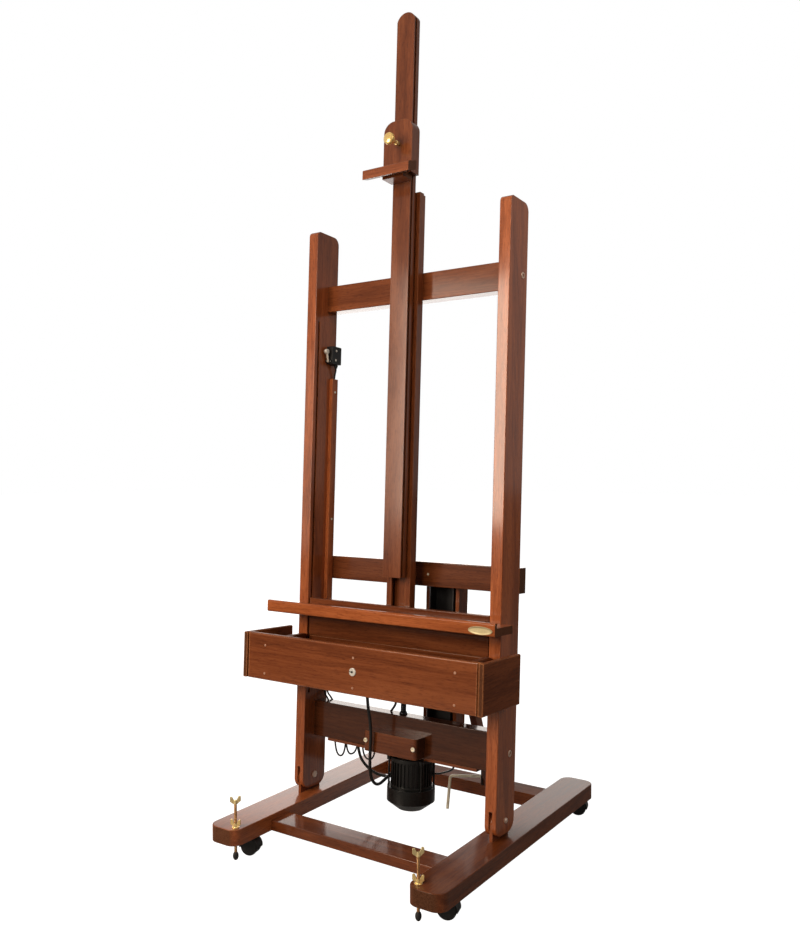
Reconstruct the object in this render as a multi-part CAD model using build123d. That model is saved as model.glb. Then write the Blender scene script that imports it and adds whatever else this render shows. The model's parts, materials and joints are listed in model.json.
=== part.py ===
from build123d import *
import math
import os

os.makedirs("parts", exist_ok=True)

# Fits
RUN_FIT = 0.05
GAP = 0.3
SLIDE = 0.6
BOLT_GAP = 0.1
EASE = 2.0

# Base on the floor
BASE_W = 672.0
RUNNER_W = 91.0
RUNNER_L = 810.0
RUNNER_H = 39.0
RUNNER_Z = 48.0
RUNNER_TOP = RUNNER_Z + RUNNER_H
RUNNER_CORNER_R = 28.0
INNER_X = BASE_W / 2 - RUNNER_W
FRONT_MEMBER_Y = -276.0
FRONT_MEMBER_W = 69.0
FRONT_MEMBER_H = 26.0
REAR_MEMBER_Y = 228.0
REAR_MEMBER_W = 66.0
REAR_MEMBER_H = 35.0

# Casters, set in from the outer edges and the ends of the runners
CASTER_X = BASE_W / 2 - 50.5
FRONT_CASTER_Y = 78.0 - RUNNER_L / 2
REAR_CASTER_Y = RUNNER_L / 2 - 34.0
CASTER_TRAIL = 16.0
CASTER_TURN = 15.0
WHEEL_R = 22.0
WHEEL_W = 11.0
WHEEL_GAP = 7.0
HOOD_WALL = 2.0
HOOD_SPACE = 1.2
HOOD_SKIRT = 3.0
STEM_D = 10.0
STEM_L = 24.0
AXLE_D = 5.0

# Levelling screws, with their feet raised off the floor
LEVEL_X = BASE_W / 2 - 72.0
LEVEL_Y = 23.0 - RUNNER_L / 2
LEVEL_ROD_D = 7.0
LEVEL_HUB_D = 10.0
LEVEL_HUB_Z = RUNNER_TOP + 58.0
LEVEL_HUB_H = 9.0
LEVEL_WING_RISE = 9.0
LEVEL_WING_SPAN = 13.0
LEVEL_WING_T = 3.0
FOOT_Z = 7.0
FOOT_D = 14.0
FOOT_H = 22.0
FOOT_SOCKET = 12.0
WASHER_D = 18.0
WASHER_T = 1.5
NUT_H = 9.0

# Leaning frame, measured from the front faces of the uprights at runner top level
LEAN = 2.9
FRAME_Y = -119.0
UPRIGHT_T = 30.0
UPRIGHT_X = BASE_W / 2 - RUNNER_W / 2 - UPRIGHT_T / 2
UPRIGHT_D = 92.0
UPRIGHT_BOTTOM = 11.0
UPRIGHT_TOP = 1513.0
FOOT_R = 28.0
TOP_FRONT_R = 14.0
TOP_REAR_R = 20.0
OUTER_X = UPRIGHT_X + UPRIGHT_T
UPRIGHT_MID = UPRIGHT_X + UPRIGHT_T / 2

# Tilt pivot
PIVOT_D = 47.0
PIVOT_S = 43.0
TONGUE_T = 8.0
TONGUE_Y0 = -113.0
TONGUE_Y1 = -34.0
TONGUE_RISE = 58.0
TONGUE_R = 18.0
MORTISE = 26.0
SLOT_TOP = 71.0
PIVOT_BOLT_D = 10.0
PIVOT_HEAD_D = 13.0
PIVOT_NUT_W = 16.0
PIVOT_NUT_H = 3.0

# Rails
TOP_RAIL_D = 48.5
TOP_RAIL_T = 40.0
TOP_RAIL_S = 1301.0
TOP_RAIL_H = 70.0
REAR_RAIL_T = 31.0
REAR_RAIL_S = 572.5
REAR_RAIL_H = 62.0
DRIVE_RAIL_D = 41.0
DRIVE_RAIL_T = 40.0
DRIVE_RAIL_S = 150.0
DRIVE_RAIL_H = 94.0
DRIVE_TOP = DRIVE_RAIL_S + DRIVE_RAIL_H
STRIP_X = UPRIGHT_X - 47.5
STRIP_H = 7.0
DRIVE_BLOCK_X = 80.0
BLOCK_FRONT = 0.5
DRIVE_BLOCK_S = 151.5
DRIVE_BLOCK_H = 51.0
DRIVE_BLOCK_R = 10.0
RAIL_BOLT_D = 6.0
RAIL_BOLT_HEAD = 16.0
RAIL_BOLT_RISE = 1.5
SOCKET_W = 8.0
RAIL_BOLT_L = 70.0

# Rear column and its dark liner
COLUMN_X0 = 22.0
COLUMN_X1 = 121.0
COLUMN_WALL = 10.0
COLUMN_DEPTH = 43.0
COLUMN_S = 156.0
COLUMN_D = UPRIGHT_D + REAR_RAIL_T
LINER_T = 2.5
SPACER_X0 = 40.0
SPACER_X1 = 103.0
SPACER_H = 75.0
COLUMN_BELOW = 12.0

# Motor
MOTOR_X = 30.0
MOTOR_D = DRIVE_RAIL_D + DRIVE_RAIL_T / 2
MOTOR_TOP = DRIVE_RAIL_S - STRIP_H
MOTOR_CORE_R = 48.5
MOTOR_RIB = 4.5
MOTOR_RIBS = 32
MOTOR_RIB_T = 2.6
MOTOR_FLANGE_H = 9.0
COWL_R = 61.0
COWL_TOP = 69.0
COWL_LOW = 34.0
COWL_BOTTOM = 13.0
COWL_END_R = 33.0
COWL_WALL = 2.5
BOX_OUT = 20.0
BOX_W = 50.0
BOX_H = 50.0
TIE_D = 5.0
TIE_R = 57.0
TIE_EAR = 12.0
TIE_TURNS = (34.0, 148.0, 214.0, 328.0)

# Lift drive
SCREW_D = 14.0
SCREW_DEPTH = 62.0
SCREW_SEAT = 80.0
SCREW_TOP_SEAT = 10.0
COLLAR_D = 22.0
COLLAR_H = 7.0
LIFT_NUT_W = 44.0
LIFT_NUT_T = 28.5
LIFT_NUT_H = 40.0

# Carriage grooves and back board
GROOVE_D = 11.0
GROOVE_W = 8.0
GROOVE_DEEP = 10.0
GROOVE_S0 = 268.0
GROOVE_S1 = 1270.0
BOARD_X = UPRIGHT_X - 4.0
BOARD_D = 4.0
BOARD_T = 19.0
BOARD_S = 335.0
BOARD_TOP = 524.5
BOARD_LINE_S = 424.0
BOARD_LINE = 3.0
GUIDE_D = BOARD_D + BOARD_T

# Ledge
LEDGE_X = OUTER_X + 32.5
LEDGE_BACK = -4.0
LEDGE_DEPTH = 86.0
LEDGE_FRONT = LEDGE_BACK - LEDGE_DEPTH
LEDGE_S = 490.5
LEDGE_H = 30.0
LEDGE_R = 4.0
TONGUE_X = UPRIGHT_X - 13.5

# Tray box
TRAY_X = OUTER_X + 45.5
TRAY_SIDE_T = 12.0
TRAY_FRONT = -159.0
TRAY_FRONT_T = 14.0
TRAY_SIDE_LEAD = 2.0
TRAY_SIDE_BACK = 15.5
TRAY_S = 327.0
TRAY_H = 116.0
TRAY_FLOOR_S = 333.0
TRAY_FLOOR_T = 9.0
TRAY_REBATE_W = 5.0
TRAY_REBATE = 4.0
TRAY_EDGE_R = 3.0
DIVIDER_X = TRAY_X - 72.0
DIVIDER_T = 16.0
DIVIDER_TOP = 430.0
HOUSING_X = 34.0
HOUSING_T = 45.0
TRAY_SCREW_S = (343.5, 414.5)
KEY_S = 381.5
KEY_BEZEL_D = 19.0
KEY_BEZEL_T = 3.0
KEY_BARREL_D = 16.0
KEY_BARREL_L = 40.0
KEY_PLUG_D = 10.0
KEY_PLUG_L = 12.0
KEY_SLOT_W = 1.6

# Mast and its guide
GUIDE_X = 35.5
GUIDE_T = 24.5
GUIDE_S = 335.0
GUIDE_TOP = 1571.0
GUIDE_WALL = 8.0
GUIDE_LIP_X = 20.5
GUIDE_LIP_T = 6.0
GUIDE_BACK_T = 6.0
MAST_X = 26.5
MAST_D0 = -9.0
MAST_T = 24.0
MAST_S = 597.0
MAST_TOP = 2022.0
MAST_ARCH = 19.0
MAST_GROOVE_D = -6.0
MAST_GROOVE_W = 8.0
MAST_GROOVE_DEEP = 6.0
RIB_TOP = 1560.0

# Canvas clamp on the mast
CLAMP_X = 42.7
CLAMP_FRONT = -31.0
CLAMP_BACK = 2.5
CLAMP_S = 1604.0
CLAMP_H = 136.0
CLAMP_R = 28.0
ARM_X = 68.5
ARM_FRONT = -83.0
ARM_DEPTH = 35.0
ARM_S = 1586.0
ARM_H = 23.0
ARM_RISE = 12.0
ARM_LIP = 21.0
ARM_LIP_RISE = 6.0
ARM_R = 4.0
STEM_X = 31.0
STEM_S = 1590.0
KNOB_S = 1681.0
KNOB_D = 30.0
KNOB_T = 9.0
KNOB_OUT = 43.0
KNOB_NECK_D = 8.0
KNOB_COLLAR_D = 12.0
KNOB_COLLAR_H = 9.0
KNOB_ROD_D = 6.0

# Limit switch and raceway on the left upright
SWITCH_T = 20.0
SWITCH_D0 = 51.0
SWITCH_D1 = 90.0
SWITCH_S0 = 1160.0
SWITCH_S1 = 1208.0
EAR_X = 6.0
EAR_T = 2.0
EAR_R = 4.0
LEVER_D = 46.0
LEVER_S = 1166.0
LEVER_PIN_D = 3.0
LEVER_W = 5.0
LEVER_T = 3.0
ROLLER_D = 39.0
ROLLER_S = 1192.0
ROLLER_R = 6.5
ROLLER_W = 7.0
RACEWAY_T = 10.0
RACEWAY_D = 67.0
RACEWAY_S0 = 276.0
RACEWAY_S1 = 1121.0
RACEWAY_SCREW_S = (736.0, 1085.0)

# Screw heads and cords
CUP_D = 12.0
CUP_H = 2.5
HEAD_D = 6.0
HEAD_H = 1.0
MOTOR_CABLE_D = 8.0
SUPPLY_CABLE_D = 7.5
TRAY_CABLE_D = 6.0
SIDE_CABLE_D = 5.0
WIRE_D = 4.6
CORD_SINK = 4.0

# Tilt strut and its clamp on the base
STRUT_W = 20.0
STRUT_T = 26.0
STRUT_X = COLUMN_X1 + GAP
STRUT_PIVOT_D = 140.0
STRUT_PIVOT_S = 374.0
STRUT_END = 16.0
STRUT_BOLT_D = 8.0
CLAMP_Y = 168.2
CLAMP_Z = RUNNER_TOP + 40.0
STRUT_BELOW = 52.0
STRUT_SLOT = 92.0
STRUT_SLOT_W = 10.0
CHEEK_T = 3.5
CHEEK_RISE = 20.0
CHEEK_LEAD = 16.0
CHEEK_TAIL = 40.0
CHEEK_BACK_H = 18.0
HANDLE_D = 8.0
HANDLE_DROOP = 10.0
HANDLE_REACH = 98.0
HANDLE_LEG = 88.0
HANDLE_BEND = 10.0
HANDLE_SWING = 10.0


def span(x0, x1, y0, y1, z0, z1):
    """Box between two corners."""
    size = (x1 - x0, y1 - y0, z1 - z0)
    return Pos((x0 + x1) / 2, (y0 + y1) / 2, (z0 + z1) / 2) * Box(*size)


def rod(x, y, z0, z1, d):
    """Upright cylinder."""
    return Pos(x, y, (z0 + z1) / 2) * Cylinder(d / 2, z1 - z0)


def rod_x(x0, x1, y, z, d):
    """Cylinder along X."""
    return Pos((x0 + x1) / 2, y, z) * Rot(0, 90, 0) * Cylinder(d / 2, x1 - x0)


def rod_y(y0, y1, x, z, d):
    """Cylinder along Y."""
    return Pos(x, (y0 + y1) / 2, z) * Rot(90, 0, 0) * Cylinder(d / 2, y1 - y0)


def hexagon(x0, h, y, z, across):
    """Hexagonal prism along X."""
    return Pos(x0, y, z) * extrude(Plane.YZ * RegularPolygon(across / 2, 6, major_radius=False), h)


def eased(shape, axis, r):
    """Round the edges that run along one axis."""
    return fillet(shape.edges().filter_by(axis), r)


def mirrored(shape):
    """Copy on the other side of the middle plane."""
    return mirror(shape, Plane.YZ)


LEANING = Pos(0, FRAME_Y, RUNNER_TOP) * Rot(-LEAN, 0, 0)


def lean(shape):
    """Place a piece of the leaning frame."""
    return LEANING * shape


def point_of(x, d, s):
    """World place of a point of the leaning frame."""
    return (LEANING * Pos(x, d, s)).position


parts = {}

# Base runners with rounded ends, drilled for casters, screws and tongues
tongue_x0 = UPRIGHT_MID - TONGUE_T / 2
tongue_x1 = UPRIGHT_MID + TONGUE_T / 2
runner = span(INNER_X, BASE_W / 2, -RUNNER_L / 2, RUNNER_L / 2, RUNNER_Z, RUNNER_TOP)
runner = eased(runner, Axis.Z, RUNNER_CORNER_R)
runner = fillet(runner.faces().sort_by(Axis.Z)[-1].edges(), EASE)
for caster_y in (FRONT_CASTER_Y, REAR_CASTER_Y):
    runner -= rod(CASTER_X, caster_y, RUNNER_Z - 1, RUNNER_Z + STEM_L + GAP, STEM_D)
runner -= rod(LEVEL_X, LEVEL_Y, RUNNER_Z - 1, RUNNER_TOP + 1, LEVEL_ROD_D + 2 * GAP)
runner -= span(tongue_x0, tongue_x1, TONGUE_Y0, TONGUE_Y1, RUNNER_TOP - MORTISE, RUNNER_TOP + 1)
# The left runner carries the same casters as the right one, mirrored
parts["runner_right"] = runner
parts["runner_left"] = mirrored(runner)


def cross_member(y, w, h):
    """Flat board between the runners."""
    board = span(-INNER_X, INNER_X, y, y + w, RUNNER_Z, RUNNER_Z + h)
    return eased(board, Axis.X, EASE)


parts["front_cross_member"] = cross_member(FRONT_MEMBER_Y, FRONT_MEMBER_W, FRONT_MEMBER_H)
parts["rear_cross_member"] = cross_member(REAR_MEMBER_Y, REAR_MEMBER_W, REAR_MEMBER_H)

# Plates that stand in the runners and carry the tilt pivot
pivot = point_of(0, PIVOT_D, PIVOT_S)
tongue = span(tongue_x0, tongue_x1, TONGUE_Y0, TONGUE_Y1,
              RUNNER_TOP - MORTISE, RUNNER_TOP + TONGUE_RISE)
tongue = fillet(tongue.edges().filter_by(Axis.X).group_by(Axis.Z)[-1], TONGUE_R)
tongue -= rod_x(tongue_x0 - 1, tongue_x1 + 1, pivot.Y, pivot.Z, PIVOT_BOLT_D + 2 * GAP)
parts["pivot_tongues"] = Compound(children=[tongue, mirrored(tongue)])


def caster(x, y):
    """Hood with stem, and the pair of wheels on one axle, trailing behind the stem."""
    place = Pos(x, y, 0) * Rot(0, 0, CASTER_TURN)
    half = WHEEL_GAP / 2 + WHEEL_W
    hollow_r = WHEEL_R + HOOD_SPACE
    outer_r = hollow_r + HOOD_WALL
    top = RUNNER_Z - GAP
    hood = Pos(CASTER_TRAIL, 0, WHEEL_R) * Rot(90, 0, 0) * Cylinder(outer_r, 2 * half)
    hood += span(-STEM_D, CASTER_TRAIL, -STEM_D, STEM_D, WHEEL_R + STEM_D, top - 2)
    hood += rod(0, 0, WHEEL_R + STEM_D, top, 2.4 * STEM_D)
    hood -= span(-2 * outer_r, 2 * CASTER_TRAIL + outer_r, -outer_r, outer_r, -outer_r, WHEEL_R - HOOD_SKIRT)
    for side in (-1, 1):
        wheel_y = side * (WHEEL_GAP / 2 + WHEEL_W / 2 + HOOD_SPACE / 2)
        hollow = Cylinder(hollow_r, WHEEL_W + HOOD_SPACE)
        hood -= Pos(CASTER_TRAIL, wheel_y, WHEEL_R) * Rot(90, 0, 0) * hollow
    web = Pos(CASTER_TRAIL, 0, WHEEL_R) * Rot(90, 0, 0) * Cylinder(AXLE_D * 1.6, WHEEL_GAP - 2 * GAP)
    hood += web
    hood += rod(0, 0, top - 1, RUNNER_Z + STEM_L, STEM_D - 2 * RUN_FIT)
    hood -= rod_y(-half - 5, half + 5, CASTER_TRAIL, WHEEL_R, AXLE_D + 2 * RUN_FIT)
    wheels = rod_y(-half + GAP, half - GAP, CASTER_TRAIL, WHEEL_R, AXLE_D)
    for side in (-1, 1):
        disc = fillet(Cylinder(WHEEL_R, WHEEL_W - 2 * GAP).edges(), 2.5)
        wheels += Pos(CASTER_TRAIL, side * (half - WHEEL_W / 2), WHEEL_R) * Rot(90, 0, 0) * disc
    return place * hood, place * wheels


for corner, x, y in (("front_left", -CASTER_X, FRONT_CASTER_Y), ("front_right", CASTER_X, FRONT_CASTER_Y),
                     ("rear_left", -CASTER_X, REAR_CASTER_Y), ("rear_right", CASTER_X, REAR_CASTER_Y)):
    hood, wheels = caster(x, y)
    parts["caster_hood_" + corner] = hood
    parts["caster_wheels_" + corner] = wheels


def wings(z, hub_h):
    """Two ears that rise from a hub, along X."""
    ear = Polyline((LEVEL_HUB_D / 4, z), (LEVEL_HUB_D / 2, z), (LEVEL_WING_SPAN, z + hub_h * 0.7),
                   (LEVEL_WING_SPAN, z + hub_h + LEVEL_WING_RISE),
                   (LEVEL_WING_SPAN - 5, z + hub_h + LEVEL_WING_RISE),
                   (LEVEL_HUB_D / 4, z + hub_h * 0.8), close=True)
    flat = Plane.XZ * make_face(ear)
    solid = extrude(flat, LEVEL_WING_T / 2, both=True)
    solid = fillet(solid.edges().filter_by(Axis.Y).sort_by(Axis.Z)[-2:], 2.0)
    return solid + mirror(solid, Plane.YZ)


def levelling(x):
    """Screw with a winged head, rubber foot and winged lock nut."""
    foot_top = FOOT_Z + FOOT_H
    screw = rod(0, 0, foot_top - FOOT_SOCKET, LEVEL_HUB_Z + 1, LEVEL_ROD_D)
    screw += Pos(0, 0, LEVEL_HUB_Z + LEVEL_HUB_H / 2) * Cone(LEVEL_HUB_D / 2, LEVEL_HUB_D * 0.38, LEVEL_HUB_H)
    screw += wings(LEVEL_HUB_Z, LEVEL_HUB_H)
    half_foot = Rectangle(FOOT_D, FOOT_H + 1, align=(Align.MIN, Align.CENTER))
    egg = Plane.XZ * (Ellipse(FOOT_D / 2, FOOT_H / 2) & half_foot)
    foot = Pos(0, 0, FOOT_Z + FOOT_H / 2) * revolve(egg, Axis.Z)
    foot -= rod(0, 0, foot_top - FOOT_SOCKET - GAP, foot_top + 1, LEVEL_ROD_D + 2 * RUN_FIT)
    seat = RUNNER_TOP + WASHER_T
    nut = rod(0, 0, RUNNER_TOP, seat, WASHER_D)
    nut += Pos(0, 0, seat + NUT_H / 2) * Cone(LEVEL_HUB_D / 2, LEVEL_HUB_D * 0.42, NUT_H)
    nut += wings(seat, NUT_H)
    nut -= rod(0, 0, RUNNER_TOP - 1, seat + NUT_H + LEVEL_WING_RISE, LEVEL_ROD_D + 2 * GAP)
    turned = Pos(x, LEVEL_Y, 0)
    return [turned * Rot(0, 0, 52) * screw, turned * foot, turned * Rot(0, 0, 20) * nut]


right_level = levelling(LEVEL_X)
left_level = levelling(-LEVEL_X)
parts["levelling_screw_right"] = right_level[0]
parts["levelling_screw_left"] = left_level[0]
parts["levelling_foot_right"] = right_level[1]
parts["levelling_foot_left"] = left_level[1]
parts["lock_nuts"] = Compound(children=[right_level[2], left_level[2]])

# Places of the bolts that go through the uprights into the rails
rail_bolts = [(TOP_RAIL_D + TOP_RAIL_T / 2, TOP_RAIL_S + TOP_RAIL_H / 2),
              (DRIVE_RAIL_D + DRIVE_RAIL_T / 2, DRIVE_RAIL_S + DRIVE_RAIL_H / 2)]

# Uprights, slotted for the tongues and grooved for the carriage
upright = span(UPRIGHT_X, OUTER_X, 0, UPRIGHT_D, UPRIGHT_BOTTOM, UPRIGHT_TOP)
long_edges = upright.edges().filter_by(Axis.X)
upright = fillet(long_edges.group_by(Axis.Z)[0], FOOT_R)
top_edges = upright.edges().filter_by(Axis.X).group_by(Axis.Z)[-1].sort_by(Axis.Y)
upright = fillet(top_edges[-1], TOP_REAR_R)
top_edges = upright.edges().filter_by(Axis.X).group_by(Axis.Z)[-1].sort_by(Axis.Y)
upright = fillet(top_edges[0], TOP_FRONT_R)
upright = fillet(upright.edges().filter_by(Axis.Z), 1.5)
upright -= span(UPRIGHT_X - 1, UPRIGHT_X + GROOVE_DEEP, GROOVE_D, GROOVE_D + GROOVE_W, GROOVE_S0, GROOVE_S1)
slot_half = TONGUE_T / 2 + GAP
upright -= span(UPRIGHT_MID - slot_half, UPRIGHT_MID + slot_half, -1, UPRIGHT_D + 1, 0, SLOT_TOP)
upright -= rod_x(UPRIGHT_X - 1, OUTER_X + 1, PIVOT_D, PIVOT_S, PIVOT_BOLT_D + 2 * BOLT_GAP)
for d, s in rail_bolts:
    upright -= rod_x(UPRIGHT_X - 1, OUTER_X + 1, d, s, RAIL_BOLT_D + 2 * BOLT_GAP)
parts["upright_right"] = lean(upright)
parts["upright_left"] = lean(mirrored(upright))


def rail(x, d, t, s, h):
    """Board across the frame."""
    return eased(span(-x, x, d, d + t, s, s + h), Axis.X, EASE)


def bolt_bores(board, d, s):
    """Blind bores in both ends of a rail."""
    deep = UPRIGHT_X - RAIL_BOLT_L + UPRIGHT_T - 1
    for side in (-1, 1):
        x0, x1 = sorted((side * deep, side * (UPRIGHT_X + 1)))
        board -= rod_x(x0, x1, d, s, RAIL_BOLT_D + 2 * BOLT_GAP)
    return board


top_rail = bolt_bores(rail(UPRIGHT_X, TOP_RAIL_D, TOP_RAIL_T, TOP_RAIL_S, TOP_RAIL_H), *rail_bolts[0])
top_rail -= rod(0, SCREW_DEPTH, TOP_RAIL_S - 1, TOP_RAIL_S + SCREW_TOP_SEAT + GAP, SCREW_D + 2 * RUN_FIT)
parts["top_rail"] = lean(top_rail)
drive_rail = bolt_bores(rail(UPRIGHT_X, DRIVE_RAIL_D, DRIVE_RAIL_T, DRIVE_RAIL_S, DRIVE_RAIL_H), *rail_bolts[1])
drive_rail -= rod(0, SCREW_DEPTH, DRIVE_TOP - SCREW_SEAT - GAP, DRIVE_TOP + 1, SCREW_D + 2 * RUN_FIT)
parts["drive_rail"] = lean(drive_rail)

# Rear rail lies on the back of the uprights; its screws show on the front
rear_screws = [(-45.0, REAR_RAIL_S + REAR_RAIL_H / 2), (45.0, REAR_RAIL_S + REAR_RAIL_H / 2)]
rear_rail = rail(OUTER_X, UPRIGHT_D, REAR_RAIL_T, REAR_RAIL_S, REAR_RAIL_H)
parts["rear_rail"] = lean(rear_rail)

strip = span(-STRIP_X, STRIP_X, DRIVE_RAIL_D + 1, DRIVE_RAIL_D + DRIVE_RAIL_T - 1,
             DRIVE_RAIL_S - STRIP_H, DRIVE_RAIL_S)
parts["cover_strip"] = lean(strip)
block = span(-DRIVE_BLOCK_X, DRIVE_BLOCK_X, BLOCK_FRONT, DRIVE_RAIL_D, DRIVE_BLOCK_S, DRIVE_BLOCK_S + DRIVE_BLOCK_H)
front_edges = block.edges().filter_by(Axis.Z).group_by(Axis.Y)[0]
block = fillet(front_edges, DRIVE_BLOCK_R)
block_screws = [(-72.0, 178.0), (72.0, 178.0)]
parts["drive_block"] = lean(block)

# Column behind the rear rail, open to the front, with a dark liner
column_back = COLUMN_D + COLUMN_DEPTH
column_top = REAR_RAIL_S + REAR_RAIL_H - COLUMN_BELOW
column = span(COLUMN_X0, COLUMN_X1, COLUMN_D, column_back, COLUMN_S, column_top)
column -= span(COLUMN_X0 + COLUMN_WALL, COLUMN_X1 - COLUMN_WALL, COLUMN_D - 1, column_back - COLUMN_WALL,
               COLUMN_S - 1, column_top + 1)
column -= rod_x(COLUMN_X1 - COLUMN_WALL - 1, COLUMN_X1 + 1, STRUT_PIVOT_D, STRUT_PIVOT_S,
                STRUT_BOLT_D + 2 * BOLT_GAP)
parts["column"] = lean(column)
liner_x0 = COLUMN_X0 + COLUMN_WALL
liner_x1 = COLUMN_X1 - COLUMN_WALL - 8
liner_back = column_back - COLUMN_WALL
liner = span(liner_x0, liner_x1, COLUMN_D + 1, liner_back, COLUMN_S + 2, column_top - 2)
liner -= span(liner_x0 + LINER_T, liner_x1 - LINER_T, COLUMN_D, liner_back - LINER_T, COLUMN_S, column_top)
parts["column_liner"] = lean(liner)
spacer = span(SPACER_X0, SPACER_X1, DRIVE_RAIL_D + DRIVE_RAIL_T, COLUMN_D, COLUMN_S, COLUMN_S + SPACER_H)
spacer -= span(liner_x0 - 1, liner_x1 + 1, COLUMN_D - 0.5, COLUMN_D + 1, COLUMN_S, COLUMN_S + SPACER_H)
parts["column_spacer"] = lean(spacer)

# Motor under the drive rail: flange, ribbed body with tie rods, terminal box at the back, fan cowl
motor = rod(MOTOR_X, MOTOR_D, COWL_TOP, MOTOR_TOP, 2 * MOTOR_CORE_R)
flange_r = MOTOR_CORE_R + MOTOR_RIB
motor += rod(MOTOR_X, MOTOR_D, MOTOR_TOP - MOTOR_FLANGE_H, MOTOR_TOP, 2 * flange_r)
motor += rod(MOTOR_X, MOTOR_D, COWL_TOP, COWL_TOP + 6, 2 * flange_r)
rib = span(MOTOR_CORE_R - 1, flange_r - 0.6, -MOTOR_RIB_T / 2, MOTOR_RIB_T / 2,
           COWL_TOP + 5, MOTOR_TOP - MOTOR_FLANGE_H + 1)
for i in range(MOTOR_RIBS):
    motor += Pos(MOTOR_X, MOTOR_D, 0) * Rot(0, 0, 360 * i / MOTOR_RIBS) * rib
box_s = MOTOR_TOP - MOTOR_FLANGE_H - 3
box_left = MOTOR_X - BOX_W / 2
box_right = MOTOR_X + BOX_W / 2
box_back = MOTOR_D + MOTOR_CORE_R + BOX_OUT
box = span(box_left, box_right, MOTOR_D + MOTOR_CORE_R / 2, box_back, box_s - BOX_H, box_s)
motor += fillet(box.edges().filter_by(Axis.X).group_by(Axis.Y)[-1], 3)
for turn in TIE_TURNS:
    spot = Pos(MOTOR_X, MOTOR_D, 0) * Rot(0, 0, turn) * Pos(TIE_R, 0, 0)
    motor += spot * rod(0, 0, MOTOR_TOP - MOTOR_FLANGE_H, MOTOR_TOP, TIE_EAR)
    motor += spot * rod(0, 0, COWL_TOP + GAP, MOTOR_TOP - 1, TIE_D)
parts["motor_body"] = lean(motor)
half_profile = Polyline((0, COWL_BOTTOM), (COWL_END_R, COWL_BOTTOM), (COWL_R, COWL_LOW), (COWL_R, COWL_TOP),
                        (COWL_R - COWL_WALL, COWL_TOP), (COWL_R - COWL_WALL, COWL_LOW + 1),
                        (COWL_END_R - 1, COWL_BOTTOM + COWL_WALL), (0, COWL_BOTTOM + COWL_WALL), close=True)
cowl = revolve(Plane.XZ * make_face(half_profile), Axis.Z)
cowl += Pos(0, 0, COWL_TOP - 2) * (Cylinder(COWL_R - 1, 4) - Cylinder(MOTOR_CORE_R, 5))
parts["motor_cowl"] = lean(Pos(MOTOR_X, MOTOR_D, 0) * cowl)

# Lead screw between the drive rail and the top rail
screw = rod(0, SCREW_DEPTH, DRIVE_TOP - SCREW_SEAT, TOP_RAIL_S + SCREW_TOP_SEAT, SCREW_D)
screw += Pos(0, SCREW_DEPTH, DRIVE_TOP + GAP + COLLAR_H / 2) * Cone(COLLAR_D / 2, SCREW_D / 2 + 1, COLLAR_H)
parts["lead_screw"] = lean(screw)

# Carriage back board runs in the grooves of the uprights
board = span(-BOARD_X, BOARD_X, BOARD_D, BOARD_D + BOARD_T, BOARD_S, BOARD_TOP)
board = eased(board, Axis.X, EASE)
board -= span(-BOARD_X, BOARD_X, BOARD_D - 1, BOARD_D + BOARD_LINE, BOARD_LINE_S, BOARD_LINE_S + BOARD_LINE)
tongue_end = UPRIGHT_X + GROOVE_DEEP - 1
for side in (-1, 1):
    x0, x1 = sorted((side * (BOARD_X - 5), side * tongue_end))
    board += span(x0, x1, GROOVE_D + GAP, GROOVE_D + GROOVE_W - GAP, BOARD_S, BOARD_TOP)
parts["back_board"] = lean(board)

# Ledge in front of the uprights, with a tongue between them to the back board
ledge_top = LEDGE_S + LEDGE_H
ledge = span(-LEDGE_X, LEDGE_X, LEDGE_FRONT, LEDGE_BACK, LEDGE_S, ledge_top)
ledge = fillet(ledge.edges().filter_by(Axis.X).group_by(Axis.Y)[0], LEDGE_R)
ledge += span(-TONGUE_X, TONGUE_X, LEDGE_BACK - 1, BOARD_D, LEDGE_S, ledge_top)
parts["ledge"] = lean(ledge)

# Tray box: front, two sides, floor, dividers and the housing behind the key switch
tray_top = TRAY_S + TRAY_H
tray_in = TRAY_X - TRAY_SIDE_T
tray_back = TRAY_FRONT + TRAY_FRONT_T
front = span(-tray_in, tray_in, TRAY_FRONT, tray_back, TRAY_S, tray_top)
front = fillet(front.edges().filter_by(Axis.X).group_by(Axis.Y)[0], TRAY_EDGE_R)
for side in (-1, 1):
    x0, x1 = sorted((side * (tray_in - TRAY_REBATE_W), side * (tray_in + 1)))
    front -= span(x0, x1, TRAY_FRONT - 1, TRAY_FRONT + TRAY_REBATE, TRAY_S - 1, tray_top + 1)
key_bore = KEY_BARREL_D + 2 * BOLT_GAP
front -= rod_y(TRAY_FRONT - 1, tray_back + 1, 0, KEY_S, key_bore)
parts["tray_front"] = lean(front)
side_board = span(tray_in, TRAY_X, TRAY_FRONT - TRAY_SIDE_LEAD, TRAY_SIDE_BACK, TRAY_S, tray_top)
side_board = eased(side_board, Axis.Y, TRAY_EDGE_R)
side_board = fillet(side_board.edges().filter_by(Axis.Z), 1.5)
parts["tray_side_right"] = lean(side_board)
parts["tray_side_left"] = lean(mirrored(side_board))
floor_top = TRAY_FLOOR_S + TRAY_FLOOR_T
floor = span(-tray_in, tray_in, tray_back, LEDGE_BACK, TRAY_FLOOR_S, floor_top)
floor += span(-TONGUE_X, TONGUE_X, LEDGE_BACK - 1, BOARD_D, max(TRAY_FLOOR_S, BOARD_S + EASE), floor_top)
parts["tray_floor"] = lean(floor)
dividers = []
for x in (-DIVIDER_X, DIVIDER_X):
    wall = span(x - DIVIDER_T / 2, x + DIVIDER_T / 2, tray_back, LEDGE_BACK - 4, floor_top, DIVIDER_TOP)
    dividers.append(lean(eased(wall, Axis.Y, EASE)))
parts["tray_dividers"] = Compound(children=dividers)
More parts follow.
